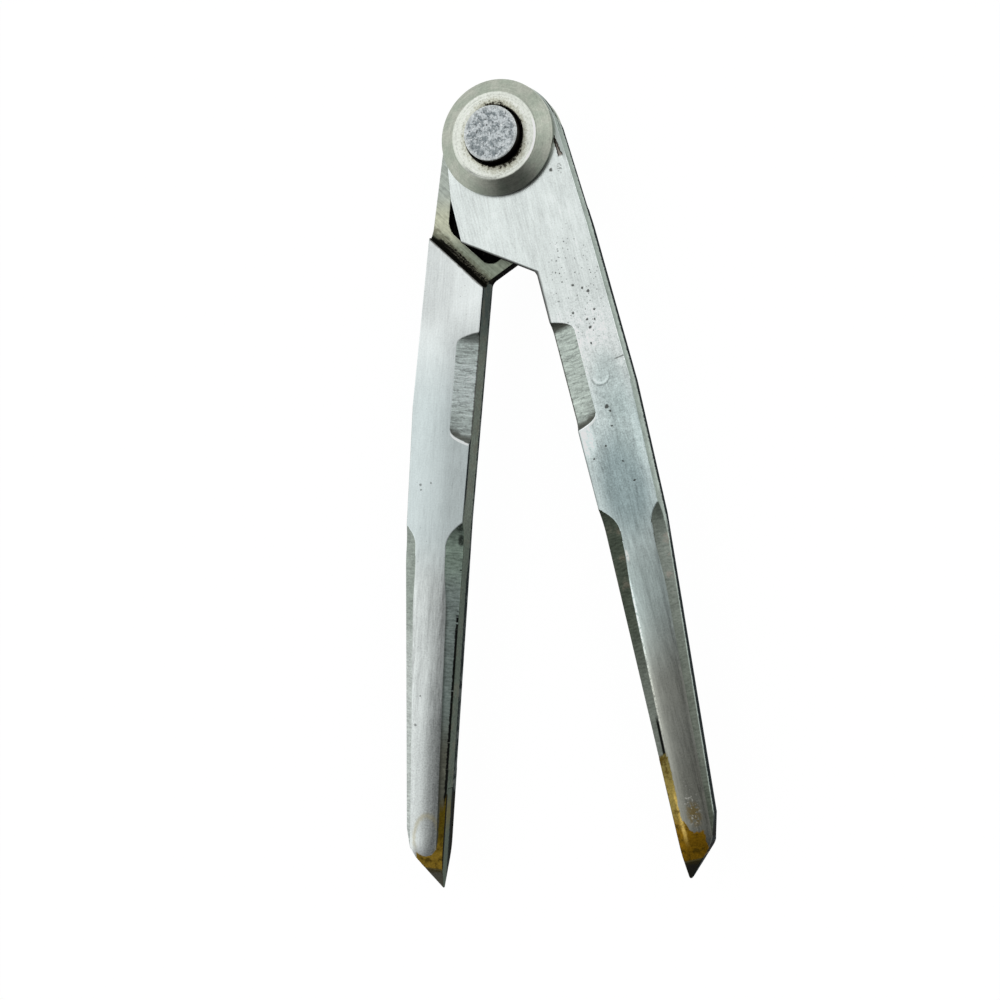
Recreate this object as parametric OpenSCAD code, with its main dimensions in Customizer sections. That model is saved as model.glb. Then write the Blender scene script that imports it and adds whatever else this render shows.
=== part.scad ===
/* [Legs] */
// Distance from the pivot to each point
point_distance = 150; // [120:1:200]
// Angle between the legs at rest
rest_opening = 19.4; // [5:0.1:60]
// Thickness of each leg
leg_thickness = 6; // [5:0.1:8]
// Greatest width of each leg
leg_width = 13.5; // [11:0.1:16]
// Radius of the head round the pivot, at the lap face
head_radius = 11.9; // [11:0.1:13]
// Distance from the pivot to where the head has widened into the leg
neck_distance = 22; // [18:0.5:26]
// Distance from the pivot to the widest place
knee_distance = 54; // [50:0.5:70]
// Distance from the pivot to the start of the taper
waist_distance = 80.5; // [72:0.5:95]
// Width of each leg where its end is cut slanting
tip_width = 8.2; // [7:0.1:10]
// Distance from the point back to where that cut starts
tip_cut = 11.4; // [9:0.1:14]
// Size of the last, steepest part of that cut, both ways
tip_slant = 5.8; // [4.5:0.1:6.5]
// Draft of the outer side from mid-thickness to each face
draft = 0.6; // [0.2:0.1:1]
// Draft of the outer side below the taper's start, on the milled face
lower_draft = 0.1; // [0:0.05:0.6]

/* [Lap joint] */
// Distance from the pivot to the lap step, along the inner edge
lap_distance = 29.6; // [27:0.1:36]
// Slope of the lap step across the leg
lap_angle = 37.5; // [25:0.5:45]
// Radius at the foot of the lap step
lap_fillet = 1.6; // [0.6:0.1:1.8]
// Depth of the hollow in the lap face
pocket_depth = 1.2; // [0.5:0.1:1.6]
// Width of the rim round that hollow
pocket_rim = 2.4; // [1.5:0.1:3.2]

/* [Finger notch] */
// Distance from the pivot to the first end of the notch floor
notch_start = 41.3; // [39:0.1:50]
// Distance from the pivot to the second end of the notch floor
notch_end = 58.5; // [52:0.1:70]
// Width of the notch on the face
notch_width = 4.25; // [3:0.05:7]
// Depth of the notch at the inner edge
notch_depth = 1.1; // [0.4:0.1:1.5]
// Radius of the run-outs at both ends of the notch
notch_radius = 3.4; // [2:0.1:6]

/* [Lower leg] */
// Distance from the pivot to the start of the ridge
ridge_start = 82; // [78:0.5:100]
// Width of the ridge at its start
ridge_width = 6.4; // [4:0.1:8]
// Width of the inner flank at the start of the ridge
inner_flank = 3.35; // [2:0.05:5]
// Width of the ridge near the point
nose_width = 4.6; // [3:0.1:5]
// Width of the inner flank near the point
nose_flank = 1.8; // [0.8:0.1:2]
// Slope of the flanks
flank_angle = 24; // [15:1:30]
// Radius of the run-outs at the top of the flanks
run_out_radius = 10; // [6:0.5:16]
// Length of the face that falls from the ridge to the point
nose_length = 7.6; // [6:0.1:9]

/* [Pivot] */
// Diameter of the pivot pin
pin_diameter = 11; // [8:0.1:13]
// Height of the pin above each collar
pin_proud = 2.25; // [1:0.05:4]
// Diameter of each collar at its foot
collar_diameter = 23.2; // [20:0.1:28]
// Diameter of the flat ring on top of each collar
collar_top = 17.6; // [15:0.1:19]
// Height of each collar
collar_height = 2.75; // [2:0.05:4]
// Height of the straight edge at the foot of each collar
collar_land = 1.1; // [0.3:0.05:1.5]
// Diameter of the friction washer between the lap faces
washer_diameter = 17; // [15:0.1:18]
// Thickness of the friction washer
washer_thickness = 0.8; // [0.5:0.1:1.4]

/* [Points] */
// Length of the hard insert
insert_length = 20; // [14:1:26]
// Width of the hard insert
insert_width = 4.5; // [3.8:0.1:5]
// Thickness of the hard insert
insert_thickness = 3.1; // [2:0.1:3.4]
// Thickness of the braze round the insert
braze_thickness = 0.12; // [0.06:0.01:0.3]

/* [Fits] */
// Gap between the two lap faces
lap_gap = 0.2; // [0.1:0.05:0.4]
// Gap at the lap step with the legs closed, along the leg
step_gap = 1.4; // [1.2:0.1:3]
// Play round the friction washer, on the radius
washer_play = 0.15; // [0.1:0.05:0.4]
// Running clearance of the turning leg on the pin, on the radius
running_clearance = 0.03; // [0.01:0.01:0.1]
// Overlap of the pieces pressed on the pin, on the radius
press_overlap = 0.01; // [0.005:0.005:0.02]

/* [Hidden] */
$fn = 96;

half = leg_thickness / 2;
pin_length = leg_thickness + 2 * (collar_height + pin_proud);
mid_height = pin_length / 2;

// Edges of a leg at mid-thickness: across from the closing line, along from the pivot
inner_top = 0.75;
inner_waist = 1.1;
inner_nose = 0.15;
outer_knee = inner_top + 0.1 + leg_width;
outer_neck = outer_knee - 0.65;
outer_waist = outer_knee - 0.8;
plate_end = lap_distance - step_gap;
plate_side = head_radius + 1.45;
plate_corner = plate_end - tan(lap_angle) * (inner_top + plate_side);
plate_edge = [[-head_radius - 0.2, 1], [-plate_side, 9], [-plate_side, plate_corner]];
outer_edge = [[head_radius - 0.3, -2.2],
              [head_radius + 0.85, 1.5],
              [outer_neck, neck_distance],
              [outer_knee, knee_distance],
              [outer_waist, waist_distance],
              [tip_width, point_distance - tip_cut],
              [tip_width - 1, point_distance - tip_cut + 3.4],
              [tip_slant, point_distance - tip_slant]];

// Lap joint
washer_radius = washer_diameter / 2;
boss_radius = washer_radius + washer_play + 0.65;
step_rim = pocket_rim + 1.1;

// Ridge edges of the lower leg, from the top run-out to the nose
ridge_end = point_distance - nose_length - 1.4;
ridge_inner = [[inner_waist + inner_flank - 0.1, ridge_start],
               [inner_nose + nose_flank, ridge_end]];
ridge_outer = [[ridge_inner[0][0] + ridge_width, ridge_start],
               [ridge_inner[1][0] + nose_width, ridge_end]];
tip_half = 0.2;

// Insert and braze, counted back from the nose
nose = point_distance - nose_length;
insert_half = insert_thickness / 2;
slot_half = insert_half + braze_thickness;
slot_width = insert_width + braze_thickness;
nose_fall = (half - tip_half) / nose_length;
braze_end = nose + (half - insert_half) / nose_fall - 0.3;
braze_edge = [[-1, point_distance - insert_length + 1],
              [0.35, point_distance - insert_length + 1],
              [1.05, nose - 4.4],
              [1.35, nose - 0.4],
              [2.3, nose + 0.9],
              [3.6, nose + 1.4],
              [insert_width, nose + 1.6],
              [slot_width, nose + 3.6],
              [slot_width, point_distance + 1],
              [-1, point_distance + 1]];

// Turns across and along into plan points, the leg pointing down
function plan(points) = [for (p = points) [p[0], -p[1]]];

// Turn that lays the downward line along an edge
function edge_turn(p, q) = atan((q[0] - p[0]) / (q[1] - p[1]));

// Profile in the upright lengthwise plane, drawn out across the leg
module across_leg(width) {
  rotate([90, 0, 90])
    linear_extrude(height = width, center = true)
      children();
}

// Shape made on the upper face, 1, or on the lower face, -1
module on_face(face) {
  if (face > 0)
    children();
  else
    mirror([0, 0, 1])
      children();
}

module leg_blank() {
  cylinder(r1 = head_radius, r2 = head_radius - draft, h = half);
  linear_extrude(height = leg_thickness, center = true)
    polygon(plan(concat(
      outer_edge,
      [[0, point_distance], [inner_waist, waist_distance - 4.5], [inner_top, plate_end],
       plate_edge[2], plate_edge[1], plate_edge[0]])));
}

// Space of the other leg's head plate, with a round at the foot of the step
module lap_space() {
  reach = 60;
  depth = half + 1;
  translate([inner_top, -lap_distance, lap_gap / 2])
    rotate([0, 0, lap_angle])
      across_leg(2 * reach) {
        translate([lap_fillet, -depth])
          square([reach, depth]);
        translate([0, -depth])
          square([reach, depth - lap_fillet]);
        translate([lap_fillet, -lap_fillet])
          circle(r = lap_fillet);
      }
}

// Hollow in the lap face between its rim and the boss round the pin
module relief_pocket() {
  slope = tan(lap_angle);
  left = -head_radius + pocket_rim;
  right = head_radius - pocket_rim + 0.7;
  step_line = lap_distance - step_rim / cos(lap_angle);
  plate_line = plate_end - pocket_rim / cos(lap_angle);
  low = (step_line - plate_line) / (2 * slope);
  bottom = (step_line + plate_line) / 2 - 0.7;
  mirror([0, 0, 1])
    translate([0, 0, -lap_gap / 2 - pocket_depth])
      linear_extrude(height = pocket_depth + 1)
        difference() {
          polygon(plan([
            [left, 5],
            [left, plate_line + slope * (left - inner_top)],
            [inner_top + low - 0.7 / slope, bottom],
            [inner_top + low + 0.7 / slope, bottom],
            [right - 0.8, step_line - slope * (right - 0.8 - inner_top)],
            [right, step_line - slope * (right - 0.8 - inner_top) - 1.6],
            [right, 5]]));
          circle(r = boss_radius);
        }
}

// Half of the seat for the friction washer, sunk in the lap face
module washer_seat() {
  translate([0, 0, -half])
    cylinder(r = washer_radius + washer_play, h = half + washer_thickness / 2);
}

// Sloping notch for a finger nail, ending in two round run-outs
module finger_notch() {
  slope = atan(notch_depth / notch_width);
  translate([inner_waist + notch_width, 0, half])
    rotate([0, -slope, 0])
      across_leg(20) {
        translate([-notch_end, 0])
          square([notch_end - notch_start, 2 * notch_radius]);
        translate([-notch_start, notch_radius])
          circle(r = notch_radius);
        translate([-notch_end, notch_radius])
          circle(r = notch_radius);
      }
}

// Sloping flank beside the ridge, with a round run-out at its top
module flank(edge, side) {
  reach = point_distance;
  translate([edge[0][0], -edge[0][1], half])
    rotate([0, 0, edge_turn(edge[0], edge[1])])
      rotate([0, side * flank_angle, 0])
        across_leg(26) {
          translate([-reach, 0])
            square([reach, 2 * run_out_radius]);
          translate([0, run_out_radius])
            circle(r = run_out_radius);
        }
}

// Face that falls from the nose of the ridge to the point
module nose_face() {
  across_leg(60)
    polygon([[-nose, half],
             [-(point_distance + 2), tip_half - 2 * nose_fall],
             [-(point_distance + 2), half + 2],
             [-nose, half + 2]]);
}

// Draft along one straight stretch of an edge, the side being 1 outwards and -1 inwards
module edge_draft(p, q, side, depth) {
  long = norm(q - p);
  fall = depth * (half + 1) / half;
  translate([p[0], -p[1], 0])
    rotate([0, 0, edge_turn(p, q)])
      translate([0, 10, 0])
        rotate([90, 0, 0])
          linear_extrude(height = long + 20)
            polygon([[0, 0], [-side * fall, half + 1], [side * 8, half + 1], [side * 8, 0]]);
}

// Nose and edges of one face
module face_trim(lower_depth) {
  nose_face();
  edge_draft(plate_edge[0], plate_edge[1], -1, draft);
  edge_draft(plate_edge[1], plate_edge[2], -1, draft);
  for (i = [1 : 3])
    edge_draft(outer_edge[i], outer_edge[i + 1], 1, draft);
  for (i = [4 : 5])
    edge_draft(outer_edge[i], outer_edge[i + 1], 1, lower_depth);
}

// Whole forging with its point still in one piece, no bore and no slot
module leg_form(milled_face) {
  difference() {
    leg_blank();
    lap_space();
    relief_pocket();
    washer_seat();
    on_face(milled_face) {
      finger_notch();
      flank(ridge_inner, -1);
      flank(ridge_outer, 1);
      face_trim(lower_draft);
    }
    on_face(-milled_face)
      face_trim(draft);
  }
}

// Plan box from the closing line outwards, counted back from the point
module tip_box(width, long, half_height) {
  translate([-1, -point_distance - 1, -half_height])
    cube([width + 1, long + 1, 2 * half_height]);
}

module insert_box() {
  tip_box(insert_width, insert_length, insert_half);
}

// Room for the insert and its braze, open where the braze shows
module insert_room() {
  tip_box(slot_width, insert_length + braze_thickness, slot_half);
  linear_extrude(height = 2 * leg_thickness, center = true)
    polygon(plan(braze_edge));
}

module leg_steel(bore_radius, milled_face) {
  difference() {
    leg_form(milled_face);
    insert_room();
    cylinder(r = bore_radius, h = 2 * leg_thickness, center = true);
  }
}

module leg_point(milled_face) {
  intersection() {
    leg_form(milled_face);
    insert_box();
  }
}

module leg_braze(milled_face) {
  difference() {
    intersection() {
      leg_form(milled_face);
      insert_room();
      translate([-5, -braze_end, -leg_thickness])
        cube([30, point_distance, 2 * leg_thickness]);
    }
    insert_box();
  }
}

// Place of the right leg in the assembly
module at_front_leg() {
  translate([0, 0, mid_height])
    rotate([0, 0, rest_opening / 2])
      children();
}

// Place of the left leg, turned over about its length
module at_rear_leg() {
  translate([0, 0, mid_height])
    rotate([0, 0, -rest_opening / 2])
      rotate([0, 180, 0])
        children();
}

module front_leg() {
  color("silver")
    at_front_leg()
      leg_steel(pin_diameter / 2 - press_overlap, 1);
}

module rear_leg() {
  color("lightgray")
    at_rear_leg()
      leg_steel(pin_diameter / 2 + running_clearance, -1);
}

module pivot_pin() {
  bevel = 0.3;
  radius = pin_diameter / 2;
  color("slategray")
    rotate_extrude()
      polygon([[0, 0], [radius - bevel, 0], [radius, bevel], [radius, pin_length - bevel],
               [radius - bevel, pin_length], [0, pin_length]]);
}

// Coned collar standing on its foot, with a sunk edge round the pin
module collar() {
  sink = 0.6;
  hole = pin_diameter / 2 - press_overlap;
  rotate_extrude()
    polygon([[hole, 0], [collar_diameter / 2, 0], [collar_diameter / 2, collar_land],
             [collar_top / 2, collar_height], [hole + sink, collar_height], [hole, collar_height - sink]]);
}

module front_collar() {
  color("darkkhaki")
    translate([0, 0, mid_height + half])
      collar();
}

module rear_collar() {
  color("darkkhaki")
    translate([0, 0, mid_height - half])
      mirror([0, 0, 1])
        collar();
}

module friction_washer() {
  color("sienna")
    translate([0, 0, mid_height - washer_thickness / 2])
      difference() {
        cylinder(r = washer_radius, h = washer_thickness);
        translate([0, 0, -1])
          cylinder(r = pin_diameter / 2 + washer_play, h = washer_thickness + 2);
      }
}

module front_leg_point() {
  color("dimgray")
    at_front_leg()
      leg_point(1);
}

module rear_leg_point() {
  color("dimgray")
    at_rear_leg()
      leg_point(-1);
}

module front_leg_braze() {
  color("goldenrod")
    at_front_leg()
      leg_braze(1);
}

module rear_leg_braze() {
  color("goldenrod")
    at_rear_leg()
      leg_braze(-1);
}

front_leg();
rear_leg();
pivot_pin();
front_collar();
rear_collar();
friction_washer();
front_leg_point();
rear_leg_point();
front_leg_braze();
rear_leg_braze();
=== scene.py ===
import math

import bmesh
import bpy
from mathutils import Matrix, Vector


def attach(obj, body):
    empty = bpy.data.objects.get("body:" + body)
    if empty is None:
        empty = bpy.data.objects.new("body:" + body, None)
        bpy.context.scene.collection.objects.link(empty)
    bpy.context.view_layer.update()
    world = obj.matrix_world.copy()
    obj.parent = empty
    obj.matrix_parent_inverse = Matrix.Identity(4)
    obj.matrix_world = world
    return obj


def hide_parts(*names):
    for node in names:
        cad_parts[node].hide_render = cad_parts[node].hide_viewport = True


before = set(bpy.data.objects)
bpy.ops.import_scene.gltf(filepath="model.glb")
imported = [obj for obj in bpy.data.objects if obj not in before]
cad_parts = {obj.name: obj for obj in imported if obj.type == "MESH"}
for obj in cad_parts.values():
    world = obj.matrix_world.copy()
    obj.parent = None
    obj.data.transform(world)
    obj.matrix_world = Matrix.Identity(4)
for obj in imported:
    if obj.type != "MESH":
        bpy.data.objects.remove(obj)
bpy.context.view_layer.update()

MM = 0.001
SAME_PLACE = 0.001 * MM

# How far each leg is swung out, its middle above the pin's rear end, and half its thickness
HALF_OPENING = math.radians(9.7)
LEG_MIDDLE = 8 * MM
HALF_THICK = 3

# Places on a leg, in millimetres along it from the pivot and across it from the line to its point
CROTCH = (28.2, 0.75)
INNER_KNEE = (76, 1.1)
POINT = (150, 0)
OUTER_TOP = (22, 13.7)
OUTER_MIDDLE = (54, 14.35)
OUTER_KNEE = (80.5, 13.55)
NOSE_CORNER = (138.6, 8.2)
RIDGE_INNER_TOP = (82, 4.35)
RIDGE_INNER_END = (141, 1.95)
RIDGE_OUTER_TOP = (82, 10.75)
RIDGE_OUTER_END = (141, 6.55)

# The edges of the ridge are worn from the first place down, and fully from the second
WEAR_START = 84
WEAR_FULL = 96

# The step between head plate and leg runs slantwise across the leg
STEP_START = 29.6
STEP_SLOPE = 0.767
STEP_COSINE = 0.793
STEP_SINE = 0.609

# The finger notch has round ends and gets shallower away from the inner edge
NOTCH_DEPTH = 1.386
NOTCH_SLOPE = 0.259
NOTCH_RADIUS = 3.4

# Camera, fitted to corners of the legs and rounds of the joint
CAMERA_TURN = (-1.745, -18.747, 4.945)
CAMERA_OFFSET = Vector((1.577, 71.77, -363.75)) * MM
CAMERA_TARGET = Vector((0, 0, 5)) * MM
CAMERA_LENS = 64.8
CAMERA_SENSOR = 36


class Value:
    """A socket in a finish's node tree that takes part in sums."""

    def __init__(self, finish, socket):
        self.finish = finish
        self.socket = socket

    def sum(self, operation, first, second):
        return self.finish.node("ShaderNodeMath", {"operation": operation}, {0: first, 1: second})

    def __add__(self, other):
        return self.sum("ADD", self, other)

    def __radd__(self, other):
        return self.sum("ADD", other, self)

    def __sub__(self, other):
        return self.sum("SUBTRACT", self, other)

    def __rsub__(self, other):
        return self.sum("SUBTRACT", other, self)

    def __mul__(self, other):
        return self.sum("MULTIPLY", self, other)

    def __rmul__(self, other):
        return self.sum("MULTIPLY", other, self)

    def __truediv__(self, other):
        return self.sum("DIVIDE", self, other)

    def __pow__(self, other):
        return self.sum("POWER", self, other)

    def least(self, other):
        return self.sum("MINIMUM", self, other)

    def most(self, other):
        return self.sum("MAXIMUM", self, other)

    def size(self):
        return self.sum("ABSOLUTE", self, 0)


class Finish:
    """One procedural material and the nodes that make it."""

    def __init__(self, name, metallic=1.0, roughness=0.4):
        self.material = bpy.data.materials.new(name)
        self.material.use_nodes = True
        self.tree = self.material.node_tree
        self.shader = self.tree.nodes["Principled BSDF"]
        self.shader.inputs["Metallic"].default_value = metallic
        self.shader.inputs["Roughness"].default_value = roughness
        self.shader.inputs["Specular IOR Level"].default_value = 0.0

    def node(self, kind, settings=None, inputs=None, output=0):
        """Adds a node with its settings and then its inputs, and gives one of its outputs."""
        made = self.tree.nodes.new(kind)
        for key, setting in (settings or {}).items():
            setattr(made, key, setting)
        for key, given in (inputs or {}).items():
            self.feed(made.inputs[key], given)
        return Value(self, made.outputs[output])

    def feed(self, socket, given):
        """Links a value to a socket, or sets a constant on it."""
        if isinstance(given, Value):
            self.tree.links.new(given.socket, socket)
        elif socket.type == "RGBA":
            socket.default_value = (*given, 1)
        else:
            socket.default_value = given

    def shade(self, **channels):
        """Feeds channels of the shader, such as Base_Color."""
        for name, given in channels.items():
            self.feed(self.shader.inputs[name.replace("_", " ")], given)

    def place(self, turn=(0, 0, 0)):
        """Place on the piece in millimetres, turned about the origin."""
        inputs = {"Vector": self.node("ShaderNodeTexCoord", output="Object")}
        inputs["Rotation"] = turn
        inputs["Scale"] = (1 / MM, 1 / MM, 1 / MM)
        return self.node("ShaderNodeMapping", None, inputs)

    def parts(self, vector):
        """The three numbers of a vector."""
        return [self.node("ShaderNodeSeparateXYZ", None, {0: vector}, index) for index in range(3)]

    def vector(self, x, y, z):
        return self.node("ShaderNodeCombineXYZ", None, {0: x, 1: y, 2: z})

    def blend(self, share, under, over):
        """Colour under, covered with colour over by a share."""
        return self.node("ShaderNodeMix", {"data_type": "RGBA"}, {0: share, 6: under, 7: over}, 2)

    def scaled(self, colour, level):
        """Colour made darker or lighter by a level, where 1 keeps it."""
        return self.node("ShaderNodeVectorMath", {"operation": "SCALE"}, {0: colour, "Scale": level})

    def rise(self, value, start, end):
        """Smooth step from 0 where a value is at the start to 1 where it is at the end."""
        settings = {"interpolation_type": "SMOOTHSTEP"}
        return self.node("ShaderNodeMapRange", settings, {0: value, 1: start, 2: end})

    def band(self, value, low, high, soft):
        """Mask that is 1 between two levels of a value."""
        return self.rise(value, low - soft, low + soft) * (1 - self.rise(value, high - soft, high + soft))

    def noise(self, vector, scale, detail=3.0, roughness=0.55):
        inputs = {"Vector": vector, "Scale": scale, "Detail": detail, "Roughness": roughness}
        return self.node("ShaderNodeTexNoise", None, inputs)

    def bump(self, height, strength, distance):
        inputs = {"Height": height, "Strength": strength, "Distance": distance}
        return self.node("ShaderNodeBump", None, inputs)


class Studio(Finish):
    """The world round the part, made with the same nodes as a finish."""

    def __init__(self, name):
        self.world = bpy.data.worlds.new(name)
        self.world.use_nodes = True
        self.tree = self.world.node_tree
        self.shader = self.tree.nodes["Background"]


class Leg:
    """One leg's place in the part, and its side: 1 for the front leg, -1 for the rear one."""

    def __init__(self, name, side, body):
        self.name = name
        self.side = side
        self.body = body
        turn = Matrix.Rotation(side * HALF_OPENING, 4, "Z")
        if side < 0:
            turn = turn @ Matrix.Rotation(math.pi, 4, "Y")
        self.place = Matrix.Translation((0, 0, LEG_MIDDLE)) @ turn


class LegFinish(Finish):
    """A finish laid out in one leg's own axes, in millimetres."""

    def __init__(self, name, leg, **constants):
        super().__init__(name, **constants)
        self.leg = leg
        right, away, up = self.parts(self.place((0, 0, -leg.side * HALF_OPENING)))
        self.across = leg.side * right
        self.along = -1 * away
        self.up = up - LEG_MIDDLE / MM
        self.front = self.rise(self.up, 0.0, 0.5)
        self.solid = self.vector(self.across, self.along, self.up)
        self.plan = self.vector(self.across, self.along, 0.0)
        self.ridge_inner = self.line(RIDGE_INNER_TOP, RIDGE_INNER_END)
        self.ridge_outer = self.line(RIDGE_OUTER_TOP, RIDGE_OUTER_END)
        self.inner_edge = self.line(CROTCH, INNER_KNEE).least(self.line(INNER_KNEE, POINT))
        upper_outer = self.line(OUTER_TOP, OUTER_MIDDLE).least(self.line(OUTER_MIDDLE, OUTER_KNEE))
        self.outer_edge = upper_outer.least(self.line(OUTER_KNEE, NOSE_CORNER))
        self.side_top = 3.1 - 0.46 * (self.outer_edge - self.ridge_outer)
        step = STEP_START - STEP_SLOPE * (self.across - CROTCH[1])
        self.from_step = (step - self.along) * STEP_COSINE
        self.worn_out = 0.5 * self.rise(self.along, WEAR_START, WEAR_FULL)
        from_edge = (self.across - self.ridge_inner).least(self.ridge_outer - self.across)
        self.on_ridge = self.rise(from_edge + self.worn_out, -0.12, 0.12)
        depth = (NOTCH_DEPTH - NOTCH_SLOPE * self.across).most(0)
        self.notch_reach = (depth * (2 * NOTCH_RADIUS - depth)).most(0) ** 0.5

    def line(self, start, end):
        """Where a straight line through two places on the face runs, across the leg."""
        inputs = {0: self.along, 1: start[0], 2: end[0], 3: start[1], 4: end[1]}
        return self.node("ShaderNodeMapRange", {"clamp": False}, inputs)

    def reach(self, along, across):
        """Distance from a place on the face."""
        inputs = {0: self.plan, 1: (across, along, 0)}
        return self.node("ShaderNodeVectorMath", {"operation": "DISTANCE"}, inputs, "Value")

    def spot(self, along, across, radius):
        """Mask of a small ragged mark on the face, 1 at its middle."""
        ragged = self.noise(self.plan, 3.5, 2.0) - 0.5
        return 1 - self.rise(self.reach(along, across) + 0.5 * ragged, 0.5 * radius, radius)

    def patch(self, along, across, long, wide):
        """Mask of a soft oval patch on the face, 1 at its middle."""
        first = (self.along - along) / long
        second = (self.across - across) / wide
        return 1 - self.rise(first * first + second * second, 0.1, 1.0)

    def hairline(self, wide, long, seed):
        """Mask of thin wandering scratches."""
        field = self.noise(self.vector(self.across * wide, self.along * long, seed), 1.0, 2.0)
        here = self.noise(self.vector(self.across * 0.2, self.along * 0.2, seed + 4), 1.0, 2.0)
        return (1 - self.rise((field - 0.5).size(), 0.003, 0.014)) * self.rise(here, 0.42, 0.58)

    def pits(self, scale, share, size):
        """Mask of small round pits scattered over the surface."""
        inputs = {"Vector": self.solid, "Scale": scale}
        distance = self.node("ShaderNodeTexVoronoi", None, inputs)
        cell = self.node("ShaderNodeTexVoronoi", None, inputs, 1)
        luck = self.node("ShaderNodeSeparateColor", None, {0: cell}, 0)
        return (1 - self.rise(distance, 0.4 * size, size)) * self.rise(luck, 1 - share, 1.02 - share)

    def slant(self):
        """Mask of the slanted edge that runs to the point, which is painted near black."""
        below = POINT[0] - self.along - self.across
        beside = 0.93 * (self.line(NOSE_CORNER, (142, 7.2)) - self.across)
        grain = self.noise(self.solid, 2.4, 3.0) - 0.5
        from_edge = (0.7 * below).least(beside) + 0.3 * grain
        return (1 - self.rise(from_edge, 0.12, 0.3)) * self.rise(self.along, 139, 142)

    def brass(self):
        """Colour of the brazing metal."""
        cloud = self.noise(self.solid, 0.55, 4.0, 0.6)
        grain = self.noise(self.solid, 2.8, 3.0)
        if self.leg.side > 0:
            tone = self.blend(self.rise(self.along, 127, 133), (0.22, 0.18, 0.055), (0.34, 0.26, 0.07))
            tone = self.blend(self.rise(self.along, 136, 141), tone, (0.26, 0.14, 0.008))
            # Painted highlight along the braze
            from_glint = (self.across - 1.75 + 1.2 * (cloud - 0.5)).size()
            glint = (1 - self.rise(from_glint, 0.1, 0.55)) * self.band(self.along, 133, 142, 2.0)
            tone = self.blend(0.75 * glint, tone, (0.80, 0.58, 0.16))
        else:
            tone = self.blend(self.rise(self.along, 139, 144), (0.12, 0.085, 0.008), (0.36, 0.23, 0.03))
        tone = self.blend(0.8 * self.rise(cloud, 0.47, 0.62), tone, (0.09, 0.055, 0.006))
        return self.scaled(tone, 1 + 1.3 * (grain - 0.5))

    def overrun(self):
        """Mask of the brazing metal that has run over the leg round its nose."""
        wobble = self.noise(self.solid, 0.9, 2.0) - 0.5
        if self.leg.side > 0:
            beside = 1 - self.rise(self.across - self.ridge_inner + 0.5 * wobble, -0.3, -0.1)
            flank = self.rise(self.along + 3 * wobble, 125.2, 126.2) * beside
            border = 138.2 + 2.7 * self.rise(self.across, 1.9, 3.6)
            nose = self.rise(self.along + 1.4 * wobble - border, -0.15, 0.2)
            nose = nose * (1 - self.rise(self.across + wobble, 5.5, 5.8))
            return flank.most(nose) * self.front
        lobe = self.line((131, 1.5), (142, 1.15))
        beside = 1 - self.rise(self.across - lobe + 0.5 * wobble, -0.15, 0.15)
        wedge = self.rise(self.along + 2 * wobble, 131, 135) * beside
        first = (self.across - 3.3) / 2.6
        end = self.rise(self.along + 0.8 * first * first + 0.6 * wobble, 143.6, 144.0)
        return wedge.most(end * (1 - self.rise(self.across, 5.4, 5.8))) * self.front


class RoundFinish(Finish):
    """A finish laid out round the pivot, in millimetres."""

    def __init__(self, name, **constants):
        super().__init__(name, **constants)
        self.solid = self.place()
        self.right, self.away, up = self.parts(self.solid)
        self.up = up - LEG_MIDDLE / MM
        self.radius = (self.right * self.right + self.away * self.away) ** 0.5


def placed(name, data):
    """Object added to the scene."""
    thing = bpy.data.objects.new(name, data)
    bpy.context.scene.collection.objects.link(thing)
    return thing


def mesh_from(form, name):
    mesh = bpy.data.meshes.new(name)
    form.to_mesh(mesh)
    form.free()
    return mesh


def make_piece(form, name, body, node):
    """Piece that rides on a body in place of a CAD node."""
    piece = placed(name, mesh_from(form, name))
    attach(piece, body)
    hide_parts(node)
    return piece


def set_finish(piece, *materials):
    for material in materials:
        piece.data.materials.append(material)


def even_shading(piece, keep_sharp):
    even = piece.modifiers.new("even shading", "WEIGHTED_NORMAL")
    even.keep_sharp = keep_sharp


# Worn copies of the legs, points and braze

FACE, FLANK, SIDE, LAP, SHOULDER, NOTCH = range(6)

# Cuts across the lower leg, out from the ridge's edges, and lengthwise by share of the ridge's width
STATIONS = (WEAR_START, 90, 97, 105, 113, 120, 126, 132, 137, 139.5,
            140.6, 141.5, 142.4, 143.3, 144.2, 145.4)
RIDGE_CUTS = (-0.8, -0.3, 0.15, 0.3, 0.45, 0.6, 0.8, 1.1)
CROWN_CUTS = (0.35, 0.5, 0.65)

# Shape of the worn ridge and nose
CROWN = 0.10
RIDGE_SOFT = 0.25
NOSE_SOFT = 0.7
FLANK_FALL = math.tan(math.radians(24))
NOSE_START = 142.4
NOSE_FALL = 2.8 / 7.6

# Edges flatter than the first angle aren't worn, and those over the second are shaded sharp
WORN_ANGLE = math.radians(8)
SHARP_ANGLE = math.radians(20)

# Widths of the worn rounds on edges and points
EDGE_ROUND = 0.16
CORNER_ROUND = 0.4
CROTCH_ROUND = 0.8
HOLLOW_ROUND = 0.9
TIP_ROUND = 0.1
TIP_START = 126
FRONT_POINT_ROUND = 1.0
REAR_POINT_ROUND = 0.2


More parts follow.
